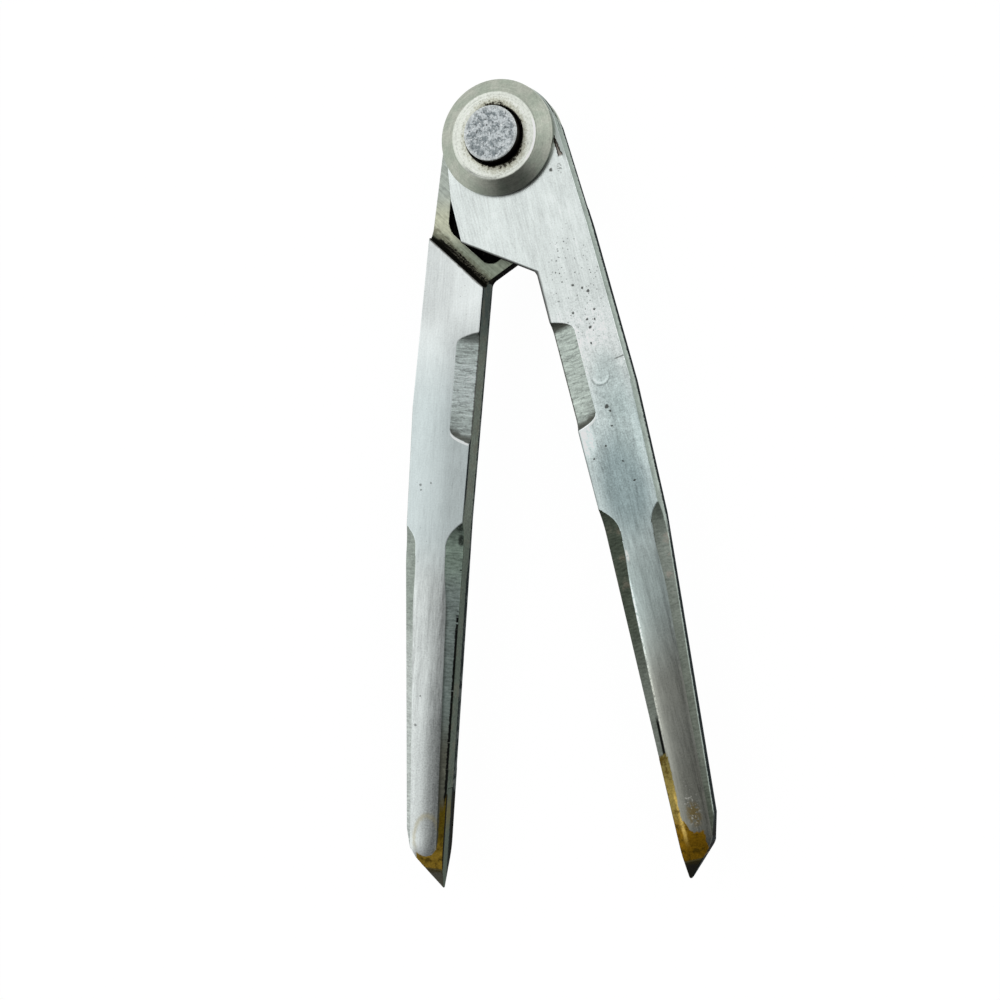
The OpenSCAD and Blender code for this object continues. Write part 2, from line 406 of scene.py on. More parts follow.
def leg_region(face):
    """The finish that a face of a leg gets, from where it lies and how it is turned."""
    centre = face.calc_center_median() / MM
    along = -centre.y
    level = abs(face.normal.z)
    # The step: a slope is rubbed as the lap is, an upright wall is grimy
    if along < 31 and -2.6 < centre.z < 0.1 and face.normal.y > 0.2:
        return LAP if face.normal.z < -0.15 else SHOULDER
    # The flat of the lap
    if along < 30 and 0.0 < centre.z < 0.3 and face.normal.z < -0.9:
        return LAP
    # Hollows in the lap, their floors and walls
    sunk = 0.2 < centre.z < 1.4 and abs(centre.x) < 10.5
    if along < 30 and sunk and (face.normal.z < -0.9 or level < 0.1):
        return SHOULDER
    if level < 0.35:
        return SIDE
    if along > 75 and level < 0.995 and abs(face.normal.x) > 0.1:
        return FLANK
    if 36 < along < 64 and level < 0.995:
        return NOTCH
    return FACE


def worn_width(edge):
    """Width of the worn round on an edge, in millimetres."""
    middle = (edge.verts[0].co + edge.verts[1].co) / 2 / MM
    across, along = middle.x, -middle.y
    if not edge.is_manifold or edge.calc_face_angle(0.0) < WORN_ANGLE:
        return 0.0
    regions = {face.material_index for face in edge.link_faces}
    if not edge.is_convex:
        upright = abs(edge.verts[0].co.z - edge.verts[1].co.z) > 0.5 * MM
        if regions == {SHOULDER} and upright:
            return HOLLOW_ROUND
        at_crotch = abs(along - CROTCH[0]) < 0.1 and abs(across - CROTCH[1]) < 0.1
        return CROTCH_ROUND if at_crotch else 0.0
    if along > WEAR_START and regions <= {FACE, FLANK}:
        return 0.0
    if along > TIP_START:
        return TIP_ROUND if across > 5 else 0.0
    if regions == {SIDE}:
        return CORNER_ROUND
    return EDGE_ROUND


def smooth_rise(value, low, high):
    share = min(max((value - low) / (high - low), 0.0), 1.0)
    return share * share * (3 - 2 * share)


def soft_least(first, second, soft):
    """Smaller of two heights, with the crease between them rounded."""
    near = max(soft - abs(first - second), 0.0) / soft
    return min(first, second) - near * near * soft / 4


def on_line(along, start, end):
    """Where a straight line through two places on the face runs, across the leg."""
    return start[1] + (end[1] - start[1]) * (along - start[0]) / (end[0] - start[0])


def face_heights(along, across, milled):
    """Height of a leg's face above its middle as made and as worn, in millimetres."""
    nose = HALF_THICK - NOSE_FALL * (along - NOSE_START)
    if not milled:
        return min(HALF_THICK, nose), soft_least(HALF_THICK, nose, NOSE_SOFT)
    inner = on_line(along, RIDGE_INNER_TOP, RIDGE_INNER_END)
    outer = on_line(along, RIDGE_OUTER_TOP, RIDGE_OUTER_END)
    flank = HALF_THICK - FLANK_FALL * max(inner - across, across - outer)
    share = (2 * across - inner - outer) / (outer - inner)
    wear = smooth_rise(along, WEAR_START, WEAR_FULL)
    crown = HALF_THICK - CROWN * wear * share * share
    ridge = soft_least(crown, flank, 0.01 + RIDGE_SOFT * wear)
    return min(HALF_THICK, flank, nose), soft_least(ridge, nose, NOSE_SOFT)


def cut(form, faces, point, normal):
    geometry = set(faces)
    for face in faces:
        geometry.update(face.edges)
        geometry.update(face.verts)
    bmesh.ops.bisect_plane(form, geom=list(geometry), dist=SAME_PLACE, plane_co=point, plane_no=normal)


def cut_lower_leg(form, milled_side):
    """Cuts the lower leg across and lengthwise where its edges are worn round."""
    for station in STATIONS:
        cut(form, form.faces[:], (0, -station * MM, 0), (0, 1, 0))
    top, inner_top = RIDGE_INNER_TOP
    end, inner_end = RIDGE_INNER_END
    outer_top = RIDGE_OUTER_TOP[1]
    outer_end = RIDGE_OUTER_END[1]
    wide_top = outer_top - inner_top
    wide_end = outer_end - inner_end
    lines = [(inner_top - out, inner_end - out) for out in RIDGE_CUTS]
    lines += [(outer_top + out, outer_end + out) for out in RIDGE_CUTS]
    lines += [(inner_top + share * wide_top, inner_end + share * wide_end) for share in CROWN_CUTS]
    for at_top, at_end in lines:
        faces = [face for face in form.faces if face.calc_center_median().y < -WEAR_START * MM
                 and face.normal.z * milled_side > 0.7]
        normal = Vector((end - top, at_end - at_top, 0)).normalized()
        cut(form, faces, Vector((at_top, -top, 0)) * MM, normal)


def wear_lower_leg(form, milled_side):
    """Rounds off the ridge and the nose."""
    for vert in form.verts:
        across, along = vert.co.x / MM, -vert.co.y / MM
        if along > WEAR_START:
            made, worn = face_heights(along, across, vert.co.z * milled_side > 0)
            if abs(abs(vert.co.z) / MM - made) < 0.02:
                vert.co.z = math.copysign(worn * MM, vert.co.z)


def soften(form, weights=None):
    """Shades a form smooth, apart from the sharp edges that aren't worn."""
    form.normal_update()
    for face in form.faces:
        face.smooth = True
    for edge in form.edges:
        worn = weights is not None and edge[weights] > 0
        if not worn and edge.is_manifold and edge.calc_face_angle(0.0) > SHARP_ANGLE:
            edge.smooth = False


def leg_form(leg, node):
    """Merged copy of a CAD node, laid out in its leg's own axes."""
    form = bmesh.new()
    form.from_mesh(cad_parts[node].data)
    bmesh.ops.remove_doubles(form, verts=form.verts, dist=SAME_PLACE)
    bmesh.ops.dissolve_limit(form, angle_limit=math.radians(0.2), verts=form.verts, edges=form.edges)
    bmesh.ops.transform(form, matrix=leg.place.inverted(), verts=form.verts)
    return form


def leg_piece(leg, form, node):
    """Worn piece in place of a CAD node, from a form in its leg's own axes."""
    bmesh.ops.transform(form, matrix=leg.place, verts=form.verts)
    return make_piece(form, node + "_worn", leg.body, node)


def make_leg(leg):
    form = leg_form(leg, leg.name)
    cut_lower_leg(form, leg.side)
    for face in form.faces:
        face.material_index = leg_region(face)
    weights = form.edges.layers.float.new("bevel_weight_edge")
    for edge in form.edges:
        edge[weights] = worn_width(edge)
    wear_lower_leg(form, leg.side)
    soften(form, weights)
    piece = leg_piece(leg, form, leg.name)
    worn = piece.modifiers.new("worn edges", "BEVEL")
    worn.limit_method = "WEIGHT"
    worn.width = 1 * MM
    worn.segments = 3
    worn.profile = 0.5
    worn.material = -1
    worn.use_clamp_overlap = False
    even_shading(piece, True)
    return piece


def make_braze(leg):
    """Braze that follows the worn nose of its leg."""
    node = leg.name + "_braze"
    form = leg_form(leg, node)
    cut_lower_leg(form, leg.side)
    wear_lower_leg(form, leg.side)
    soften(form)
    return leg_piece(leg, form, node)


def make_point(leg):
    """Hard insert with a blunted point."""
    node = leg.name + "_point"
    form = leg_form(leg, node)
    tip_line = -(POINT[0] - 0.5) * MM
    tip = [edge for edge in form.edges if all(vert.co.y < tip_line for vert in edge.verts)]
    blunt = FRONT_POINT_ROUND if leg.side > 0 else REAR_POINT_ROUND
    bmesh.ops.bevel(form, geom=tip, offset=blunt * MM, offset_type="OFFSET", affect="EDGES", segments=6,
                    profile=0.5, material=-1, clamp_overlap=True)
    return leg_piece(leg, form, node)


# Pin and collars, turned from outlines whose corners are a radius, a height and a rounding

PIN_OUTLINE = ((0.02, 0, 0), (5.5, 0, 0.22), (5.5, 16, 0.22), (0.02, 16, 0))
COLLAR_OUTLINE = ((5.49, 0, 0), (11.6, 0, 0.1), (11.6, 1.1, 0.12),
                  (8.8, 2.75, 0.5), (6.09, 2.75, 0.2), (5.49, 2.15, 0))
ARC_STEPS = 6
TURN_STEPS = 128


def rounded(corners):
    """Closed outline whose corners become arcs."""
    outline = []
    for index, (radius, height, rounding) in enumerate(corners):
        corner = Vector((radius, height))
        if rounding == 0:
            outline.append(corner)
            continue
        before = (Vector(corners[index - 1][:2]) - corner).normalized()
        after = (Vector(corners[(index + 1) % len(corners)][:2]) - corner).normalized()
        half_angle = before.angle(after) / 2
        middle = corner + (before + after).normalized() * rounding / math.sin(half_angle)
        start = corner + before * rounding / math.tan(half_angle) - middle
        end = corner + after * rounding / math.tan(half_angle) - middle
        for step in range(ARC_STEPS + 1):
            outline.append(middle + rounding * start.slerp(end, step / ARC_STEPS))
    return outline


def turned(node, corners):
    """Piece turned about the pivot, in place of a CAD node."""
    form = bmesh.new()
    ring = [form.verts.new((point.x * MM, 0, point.y * MM)) for point in rounded(corners)]
    edges = [form.edges.new(pair) for pair in zip(ring, ring[1:] + ring[:1])]
    bmesh.ops.spin(form, geom=ring + edges, cent=(0, 0, 0), axis=(0, 0, 1), dvec=(0, 0, 0), angle=math.tau,
                   steps=TURN_STEPS, use_merge=True)
    bmesh.ops.remove_doubles(form, verts=form.verts, dist=SAME_PLACE)
    bmesh.ops.recalc_face_normals(form, faces=form.faces)
    for face in form.faces:
        face.smooth = True
    piece = make_piece(form, node + "_turned", "front_half", node)
    even_shading(piece, False)
    return piece


def make_collar(node, side):
    base = LEG_MIDDLE / MM + HALF_THICK * side
    corners = [(radius, base + side * height, rounding) for radius, height, rounding in COLLAR_OUTLINE]
    return turned(node, corners)


# Finishes of the legs, points and braze, where f is the finish that is being made

FINE_BUMP = 0.02 * MM

# Larger pits on the faces: along, across and radius
FRONT_PITS = ((35.0, 10.0, 0.42), (34.1, 9.0, 0.3), (33.0, 7.3, 0.35), (42.0, 8.6, 0.38), (38.3, 6.0, 0.32),
              (40.3, 8.4, 0.3), (40.7, 9.9, 0.28), (38.8, 10.3, 0.28), (45.1, 8.0, 0.3), (57.9, 7.9, 0.55),
              (58.9, 8.3, 0.32), (61.8, 7.9, 0.28), (65.3, 5.7, 0.3), (69.0, 8.3, 0.28), (67.1, 2.8, 0.25),
              (73.2, 9.6, 0.3), (9.6, 8.8, 0.45))
REAR_PITS = ((69.9, 10.7, 0.36), (70.9, 10.5, 0.28), (69.4, 8.5, 0.25),
             (117.9, 7.8, 0.4), (112.0, 7.2, 0.25))


def front_face_marks(f, level, colour):
    """Colour of the front leg's face with its pits, dents and stains, and the mask of the pits."""
    pits = f.pits(1.3, 0.22, 0.28).most(0.8 * f.pits(2.2, 0.2, 0.4)) * f.patch(33, 8, 15, 7)
    for along, across, radius in FRONT_PITS:
        pits = pits.most(f.spot(along, across, radius))
    pits = pits * f.front
    # Round dent painted as a ring of highlight inside a ring of shade, and bare worn places
    from_dent = f.reach(51.7, 8.1)
    dent_light_and_shade = 0.32 * f.band(from_dent, 1.2, 1.6, 0.15) - 0.35 * f.band(from_dent, 1.75, 2.05, 0.12)
    dent_light_and_shade = dent_light_and_shade * f.rise(f.along, 51.0, 52.6)
    worn = 0.3 * f.patch(62, 2.0, 6, 2.6) + 0.15 * f.spot(50.2, 12.6, 1.2) + 0.2 * f.patch(66, 12.6, 9, 1.2)
    worn = worn + 0.12 * f.band(f.across, 5.2, 6.2, 0.3) * f.band(f.along, 41, 60, 2)
    worn = worn - 0.25 * f.spot(56.0, 7.9, 0.5)
    colour = f.scaled(colour, level + (dent_light_and_shade + worn) * f.front)
    # Brassy stain and pale flecks above the nose
    ending = f.noise(f.solid, 1.3, 3.0, 0.7)
    gilt = f.patch(137.6, 4.6, 3.0, 1.8) * f.rise(ending, 0.38, 0.5)
    colour = f.blend(0.8 * gilt * f.front, colour, (0.22, 0.16, 0.05))
    glitter = f.patch(136, 4.4, 6, 2.2) * f.rise(f.noise(f.solid, 2.2, 2.0), 0.58, 0.66)
    colour = f.blend(0.5 * glitter * f.front, colour, (0.75, 0.75, 0.68))
    # Crack in from the outer edge, smudge below the collar and nick at the top of the ridge
    crack = f.band(f.along + 0.1 * (f.across - 12.5), 49.15, 49.4, 0.1) * f.rise(f.across, 11.2, 12.2)
    ragged = f.noise(f.solid, 1.6, 3.0) - 0.5
    smudge = f.patch(9.8, 10.6, 1.3, 0.7) * f.rise(f.noise(f.solid, 2.6, 3.0), 0.45, 0.62)
    colour = f.blend(0.8 * smudge * f.front, colour, (0.16, 0.18, 0.17))
    nick = f.patch(86.9, 4.45, 1.5, 0.4) * f.rise(ragged, -0.15, 0.0)
    colour = f.blend(0.85 * nick * f.front, colour, (0.95, 0.96, 0.93))
    # Rusty chip and dull band beside the collar
    beside_collar = f.across - 11.0 - 0.09 * (f.along - 3.3) + 0.7 * ragged
    from_chip = beside_collar.size() - 0.09 * (f.along - 2.6)
    chip = f.band(f.along, 2.4, 7.5, 0.25) * (1 - f.rise(from_chip, 0.05, 0.2))
    band = f.rise(beside_collar, 0.2, 0.4) * (1 - f.rise(f.along, 6.5, 9))
    colour = f.blend(0.8 * band * f.front, colour, (0.40, 0.45, 0.42))
    core = (1 - f.rise(from_chip + 0.5 * ragged, -0.3, -0.05)) * f.rise(f.along, 4.0, 5.5)
    rust = f.blend(core, (0.03, 0.026, 0.02), (0.30, 0.28, 0.25))
    colour = f.blend(chip * f.front, colour, rust)
    # Dark line at the crotch and along the inner edge
    from_foot = (CROTCH[0] - STEP_SLOPE * (CROTCH[1] - f.across) - f.along) * STEP_COSINE
    foot = (1 - f.rise(from_foot, 0.2, 0.5)) * (1 - f.rise(f.across, 1.0, 1.5))
    rim = (1 - f.rise(f.across - f.inner_edge + 0.3 * ragged, 0.1, 0.3)) * f.band(f.along, 29, 41, 1)
    dark = pits.most(0.8 * crack).most(foot).most(0.7 * rim)
    return f.blend(0.9 * dark * f.front, colour, (0.045, 0.045, 0.04)), pits


def rear_face_marks(f, level, colour):
    """Colour of the rear leg's face with its pits and stains, and the mask of the pits."""
    pits = f.pits(1.3, 0.1, 0.22) * 0.35
    for along, across, radius in REAR_PITS:
        pits = pits.most(0.8 * f.spot(along, across, radius))
    pits = pits * f.front
    colour = f.scaled(colour, level)
    # Brassy arch round the nose, and dirt along the step
    first = (f.along - 140) / 4.5
    second = (f.across - 3.6) / 2.7
    ragged = f.noise(f.solid, 1.2, 3.0) - 0.5
    arch = f.band((first * first + second * second) ** 0.5 + 0.3 * ragged, 0.85, 1.1, 0.12)
    colour = f.blend(0.45 * arch * (1 - f.rise(f.along, 141, 144)) * f.front, colour, (0.46, 0.40, 0.20))
    step = f.rise(f.from_step + 0.5 * ragged, -0.5, -0.15) * f.rise(f.along, 10, 12)
    colour = f.blend(0.85 * step * f.front, colour, (0.07, 0.065, 0.05))
    return f.blend(0.85 * pits, colour, (0.08, 0.085, 0.08)), pits


def face_colour(f):
    """Colour of a leg's face, with the height of its brushing and its pits."""
    grain = f.noise(f.solid, 3.0, 3.0, 0.6)
    streak = f.noise(f.vector(f.across * 3.2, f.along * 0.3, f.up), 1.0, 3.0, 0.6)
    brush = f.noise(f.vector(f.across * 1.1, f.along * 0.05, f.up), 1.0, 3.0, 0.6)
    broad = f.noise(f.vector(f.across * 0.3, f.along * 0.03, 2.0), 1.0, 2.0)
    cloud = f.noise(f.solid, 0.16, 3.0)
    bubble = f.noise(f.solid, 1.1, 3.0, 0.6)
    lower = f.rise(f.along, WEAR_START, 104)
    from_inner = (f.across - f.ridge_inner) / (f.ridge_outer - f.ridge_inner)
    texture = 0.5 * (streak - 0.5) + 0.35 * (brush - 0.5) + 0.3 * (broad - 0.5) + 0.3 * (cloud - 0.5)
    upper_worked = f.rise(f.along, 50, 70)
    lower_worked = 0.7 * f.rise(f.along, WEAR_START, WEAR_FULL)
    worked = upper_worked if f.leg.side > 0 else lower_worked
    texture = texture + worked * (0.35 * (streak - 0.5) + 0.4 * (brush - 0.5) + 0.2 * (grain - 0.5))
    texture = texture - 0.09 * f.hairline(0.5, 0.14, 1.0).most(f.hairline(0.9, 0.06, 9.0))
    if f.leg.side > 0:
        # Pale below the head, blue-grey in the middle, dark towards the nose
        tone = f.blend(f.band(f.along, 38, 47, 3), (0.83, 0.895, 0.875), (0.92, 0.985, 0.97))
        tone = f.blend(f.rise(f.along, 46, 62), tone, (0.73, 0.84, 0.83))
        tone = f.blend(0.85 * f.patch(74, 7.5, 14, 6.5), tone, (0.32, 0.42, 0.43))
        tone = f.blend(0.5 * f.patch(54, 9.5, 9, 4.0), tone, (0.46, 0.57, 0.56))
        tone = f.blend(0.45 * f.patch(63, 11.0, 9, 4.5), tone, (0.46, 0.57, 0.56))
        tone = f.blend(f.rise(f.along, 76, 92), tone, (0.45, 0.53, 0.515))
        tone = f.blend(f.rise(f.along, 92, 114), tone, (0.275, 0.285, 0.255))
        tone = f.blend(f.rise(f.along, 122, 132), tone, (0.23, 0.235, 0.205))
        rough = f.patch(58, 8, 30, 9)
        texture = texture + (0.5 + 0.6 * rough) * (grain - 0.5) + 0.7 * rough * (bubble - 0.5)
        # Painted highlight on the inner part of the lower ridge, and in a ragged line along its inner
        # crease
        texture = texture + 0.45 * lower * (1 - f.rise(from_inner, 0.0, 0.45)) * f.front
        ragged = f.noise(f.solid, 1.5, 3.0, 0.7) - 0.5
        crease = f.band(from_inner + 0.08 * ragged, -0.11, -0.02, 0.03) * f.band(f.along, 91, 122, 5)
        texture = texture + 1.2 * crease * f.rise(ragged, -0.12, 0.05) * f.front
        colour, pits = front_face_marks(f, 1 + texture, tone)
    else:
        # Painted shade across the leg, which changes side below the step, and darker on the inner part of
        # the ridge lower down; a painted highlight on the outer part of the nose; less streak and more
        # grain towards the nose
        tone = f.blend(f.rise(f.along, 34, 56), (0.83, 0.88, 0.87), (0.655, 0.735, 0.735))
        tone = f.blend(f.rise(f.along, 78, 92), tone, (0.755, 0.805, 0.79))
        leaning = f.rise(f.across, 2.0, 12.0)
        below_step = f.rise(f.along, 33, 42)
        shade_across = below_step * (0.38 * leaning - 0.26) + (1 - below_step) * (0.08 - 0.2 * leaning)
        near_nose = f.rise(f.along, 112, 126)
        texture = texture * (0.6 + 0.4 * f.rise(f.along, 78, 92) - 0.6 * near_nose)
        texture = texture + (0.35 + 0.35 * near_nose) * (grain - 0.5) + shade_across * (1 - lower)
        shaded = 0.22 + 0.14 * f.rise(f.along, 92, 104) + 0.16 * f.rise(f.along, 110, 124)
        texture = texture - f.rise(f.along, 79, 95) * (0.04 + shaded * (1 - f.rise(from_inner, 0.1, 0.75)))
        texture = texture + 0.3 * f.rise(f.along, 138, 143) * f.rise(from_inner, 0.2, 0.8)
        colour, pits = rear_face_marks(f, 1 + texture, tone)
    # Painted highlight along the edge below the notch
    notch_edge_highlight = f.band(f.along - f.notch_reach, 58.5, 59.0, 0.1) * f.band(f.across, 1.2, 5.3, 0.3)
    colour = f.blend(0.7 * notch_edge_highlight * f.front, colour, (0.95, 0.97, 0.96))
    return colour, streak * 0.4 + grain * 0.5 - pits * 1.5


def face_finish(leg):
    f = LegFinish(leg.name + "_brushed_face", leg)
    colour, height = face_colour(f)
    overrun = f.overrun()
    colour = f.blend(overrun, colour, f.brass())
    f.shade(Base_Color=colour, Metallic=1 - 0.4 * overrun, Roughness=0.3 + 0.08 * height)
    f.shade(Normal=f.bump(height, 0.3, FINE_BUMP))
    return f.material


def flank_finish(leg):
    f = LegFinish(leg.name + "_milled_flank", leg)
    mark = f.noise(f.vector(f.across * 0.6, f.along * 2.4, 3.0), 1.0, 3.0, 0.65)
    grain = f.noise(f.solid, 2.8, 3.0, 0.6)
    cloud = f.noise(f.solid, 0.35, 3.0)
    middle = (f.ridge_inner + f.ridge_outer) / 2
    inner = 1 - f.rise(f.across - middle, -0.5, 0.5)
    rust = f.rise(cloud, 0.52, 0.66)
    if leg.side > 0:
        outside = f.blend(f.rise(f.along, 84, 118), (0.27, 0.305, 0.27), (0.19, 0.215, 0.18))
        outside = f.blend(f.rise(f.along, 128, 137), outside, (0.115, 0.135, 0.105))
        # Painted shade at the top of the outer flank, where it runs out
        outside = f.blend(0.75 * (1 - f.rise(f.along, 80, 88)), outside, (0.09, 0.11, 0.09))
        outside = f.blend(0.5 * rust * f.band(f.along, 84, 97, 3), outside, (0.34, 0.28, 0.24))
        inside = f.blend(f.rise(f.along, 96, 120), (0.065, 0.08, 0.06), (0.17, 0.19, 0.165))
        inside = f.blend(0.5 * rust * (1 - f.rise(f.along, 92, 104)), inside, (0.15, 0.13, 0.10))
    else:
        outside = f.blend(f.rise(f.along, 93, 106), (0.34, 0.39, 0.35), (0.52, 0.565, 0.54))
        inside = f.blend(f.rise(f.along, 84, 92), (0.265, 0.34, 0.285), (0.235, 0.285, 0.265))
        inside = f.blend(f.rise(f.along, 112, 124), inside, (0.135, 0.14, 0.11))
    marked = 1.3 + 0.8 * inner * (1 - f.rise(f.along, 100, 120))
    level = 1 + marked * (mark - 0.5) + 0.8 * (grain - 0.5) + 0.7 * (cloud - 0.5)
    colour = f.scaled(f.blend(inner, outside, inside), level)
    beside = f.across - f.ridge_inner + f.worn_out
    if leg.side > 0:
        # Painted black shade of a gap above the braze
        gap_shade = f.band(f.along, 118.5, 126.5, 1.0) * f.rise(beside, -0.7, -0.5)
        colour = f.blend(gap_shade * inner * f.front, colour, (0.006, 0.007, 0.006))
    else:
        # Broken dark seam along the inner edge
        broken = f.noise(f.vector(0.0, f.along * 0.9, 7.0), 1.0, 3.0)
        from_corner = f.across - f.inner_edge + 0.4 * (broken - 0.5) + 0.3 * (grain - 0.5)
        seam = (1 - f.rise(from_corner, 0.4, 0.6)) * (1 - f.rise(f.along, 132, 133.5))
        seam = seam * f.rise(broken + 0.3 * f.rise(f.along, 91, 101), 0.6, 0.66)
        blot = 0.85 * f.patch(80.4, 1.5, 1.5, 0.8) * f.rise(grain, 0.36, 0.46)
        corner = 0.7 * f.patch(77.6, 1.7, 1.6, 1.0) * f.rise(grain, 0.38, 0.5)
        # Painted shade on the flank beside the ridge, joined to the dark seam
        shade = 0.45 * f.rise(beside, -0.7, -0.1) * f.rise(f.along, 88, 96)
        seam = seam.most(blot).most(corner).most(shade)
        colour = f.blend(seam * inner * f.front, colour, (0.008, 0.009, 0.008))
    over_edge = face_colour(f)[0]
    colour = f.blend(f.on_ridge * f.rise(f.along, WEAR_START, 90), colour, over_edge)
    overrun = f.overrun()
    colour = f.blend(overrun, colour, f.brass())
    f.shade(Base_Color=colour, Metallic=1 - 0.4 * overrun, Roughness=0.36 + 0.15 * mark)
    f.shade(Normal=f.bump(mark + 0.4 * grain, 0.35, FINE_BUMP))
    return f.material


def notch_finish(leg):
    f = LegFinish(leg.name + "_milled_notch", leg)
    wave = f.noise(f.solid, 0.5, 2.0)
    mark = f.noise(f.vector(f.across * 0.25, f.along * 2.2 + 1.2 * wave, 0.0), 1.0, 4.0, 0.7)
    groove = f.noise(f.vector(f.across * 0.2, f.along * 0.9 + 1.2 * wave, 5.0), 1.0, 2.0)
    groove = 1 - f.rise((groove - 0.5).size(), 0.01, 0.05)
    grain = f.noise(f.solid, 2.8, 3.0)
    cloud = f.noise(f.solid, 0.3, 2.0)
    if leg.side > 0:
        pale = (0.48, 0.545, 0.50)
    else:
        pale = f.blend(f.band(f.along, 44.5, 54.0, 2.0), (0.58, 0.66, 0.63), (0.72, 0.81, 0.79))
    level = 1.05 + 1.9 * (mark - 0.5) + 0.8 * (grain - 0.5) + 0.6 * (cloud - 0.5) - 0.25 * groove
    colour = f.scaled(pale, level)
    # Painted shade at the top and the foot of the notch, where its run-out walls turn from the light, and a
    # dark line along the inner edge
    top = 1 - f.rise(f.along + 0.25 * (f.across - 3) + 1.5 * (wave - 0.5), 40.0, 41.4)
    foot = f.rise(f.along - 0.6 * f.notch_reach + 1.2 * (wave - 0.5), 56.9, 58.7)
    rim = 1 - f.rise(f.across - f.inner_edge + 0.35 * (mark - 0.5), 0.15, 0.4)
    top_shade = 0.85 if leg.side > 0 else 0.4
    dark = (top_shade * top).most(0.85 * foot).most(0.85 * rim)
    colour = f.blend(dark, colour, (0.05, 0.048, 0.036))
    f.shade(Base_Color=colour, Roughness=0.38 + 0.15 * mark)
    f.shade(Normal=f.bump(mark - groove, 0.5, 0.03 * MM))
    return f.material


def side_finish(leg):
    f = LegFinish(leg.name + "_scaled_side", leg)
    cloud = f.noise(f.solid, 0.35, 4.0, 0.6)
    grain = f.noise(f.solid, 2.4, 3.0)
    outer = f.rise(f.across, 5.0, 6.5).most(1 - f.rise(f.along, 2.0, 5.0))
    inner_tone = f.blend(f.rise(f.along, 34, 46), (0.030, 0.050, 0.042), (0.145, 0.175, 0.14))
    inner_tone = f.blend(f.rise(f.along, 72, 84), inner_tone, (0.085, 0.112, 0.086))
    inner_tone = f.blend(0.5 * f.rise(cloud, 0.5, 0.62), inner_tone, (0.11, 0.105, 0.08))
    outer_tone = f.blend(f.rise(f.up, 0.6, 3.0), (0.46, 0.53, 0.48), (0.31, 0.37, 0.33))
    tone = f.blend(outer, inner_tone, outer_tone)
    speckle = 1.8 - 0.9 * outer
    colour = f.scaled(tone, 1 + 1.0 * (cloud - 0.5) + speckle * (grain - 0.5))
    # Painted shade on the lower part of the outer side and below the flank's edge on the lower leg, dark at
    # the nose end and in a line across the head's side, and dark lines along the inner one
    ragged = f.up + 0.9 * (grain - 0.5)
    lower_shade = (1 - f.rise(ragged, 0.6, 1.1)) * f.rise(f.along, -8, -4)
    head_line = 0.7 * f.band(ragged, 1.5, 1.9, 0.2) * f.band(f.along, -6, 2, 1.5)
    low_edge = f.rise(f.along, 80, 86) * (1 - f.rise(ragged - f.side_top, -0.65, -0.35))
    nose_end = 0.9 * f.rise(f.along, 137.6, 139.0)
    outer_dark = lower_shade.most(low_edge).most(nose_end).most(head_line)
    seam_end = 41 if leg.side > 0 else 74
    seam = f.rise(ragged, 2.1, 2.5) * (1 - f.rise(f.along, seam_end - 4, seam_end + 4))
    low_line = 1 - f.rise(ragged - 0.8 * f.rise(f.along, 82, 90), -2.2, -1.7)
    inner_dark = low_line.most(seam).most(1 - f.rise(f.along, 28.0, 28.8))
    dark = (outer * outer_dark).most((1 - outer) * inner_dark)
    bare = f.rise(cloud - 0.1 * (f.up + 1.6), 0.5, 0.62)
    dark_tone = f.blend(bare, (0.012, 0.018, 0.019), (0.10, 0.115, 0.11))
    colour = f.blend(dark, colour, dark_tone)
    dull = dark.most(0.5 * (1 - outer))
    if leg.side > 0:
        # Painted highlight along the top edge of the inner side
        top_edge_highlight = f.rise(f.up, 2.5, 2.8) * f.band(f.along, 60, 77, 2) * (1 - outer)
        colour = f.blend(top_edge_highlight, colour, (0.80, 0.86, 0.85))
        # The slanted edge to the point is painted near black
        slant = f.slant()
        colour = f.blend(slant, colour, (0.010, 0.010, 0.009))
        dull = dull.most(slant)
    f.shade(Base_Color=colour, Metallic=1 - 0.85 * dull, Roughness=0.42 + 0.2 * cloud)
    f.shade(Normal=f.bump(grain, 0.3, FINE_BUMP))
    return f.material


def lap_finish(leg):
    f = LegFinish(leg.name + "_rubbed_lap", leg)
    beside = f.across * STEP_COSINE - f.along * STEP_SINE
    scratch = f.noise(f.vector(f.from_step * 2.4, beside * 0.14, 0.0), 1.0, 4.0, 0.65)
    stain = f.noise(f.solid, 0.5, 3.0)
    dirt = f.noise(f.solid, 1.2, 4.0, 0.65)
    fine = f.noise(f.solid, 3.0, 3.0, 0.7)
    tone = f.blend(f.rise(f.along, 10, 16), (0.46, 0.51, 0.46), (0.58, 0.60, 0.46))
    tone = f.blend(f.rise(f.along + 8 * (stain - 0.5), 17, 23), tone, (0.28, 0.32, 0.25))
    colour = f.scaled(tone, 1 + 1.4 * (scratch - 0.5) + 0.7 * (dirt - 0.5) + 0.5 * (stain - 0.5))
    # Grime packed against the step, rubbed thin in places
    near = f.from_step + 2.0 * (dirt - 0.5) + 1.0 * (fine - 0.5) + 1.2 * (scratch - 0.5)
    colour = f.blend(0.65 * f.rise(near, 2.6, 1.5), colour, (0.12, 0.115, 0.075))
    grime = f.rise(near, 1.6, 1.1) * f.rise(f.along + 3 * (dirt - 0.5), 19.0, 20.5)
    thinned = f.rise(scratch + 0.8 * (fine - 0.5), 0.5, 0.62) * f.rise(f.along, 20.5, 24.0)
    dark_tone = f.blend(thinned, (0.010, 0.010, 0.008), (0.15, 0.145, 0.11))
    colour = f.blend(grime, colour, dark_tone)
    corner = f.rise(f.from_step + 0.8 * (fine - 0.5), 0.75, 0.4) * f.rise(f.along, 18.0, 20.5)
    colour = f.blend(corner, colour, (0.008, 0.008, 0.006))
    f.shade(Base_Color=colour, Metallic=1 - 0.7 * grime.most(corner))
    f.shade(Normal=f.bump(scratch, 0.4, FINE_BUMP))
    return f.material


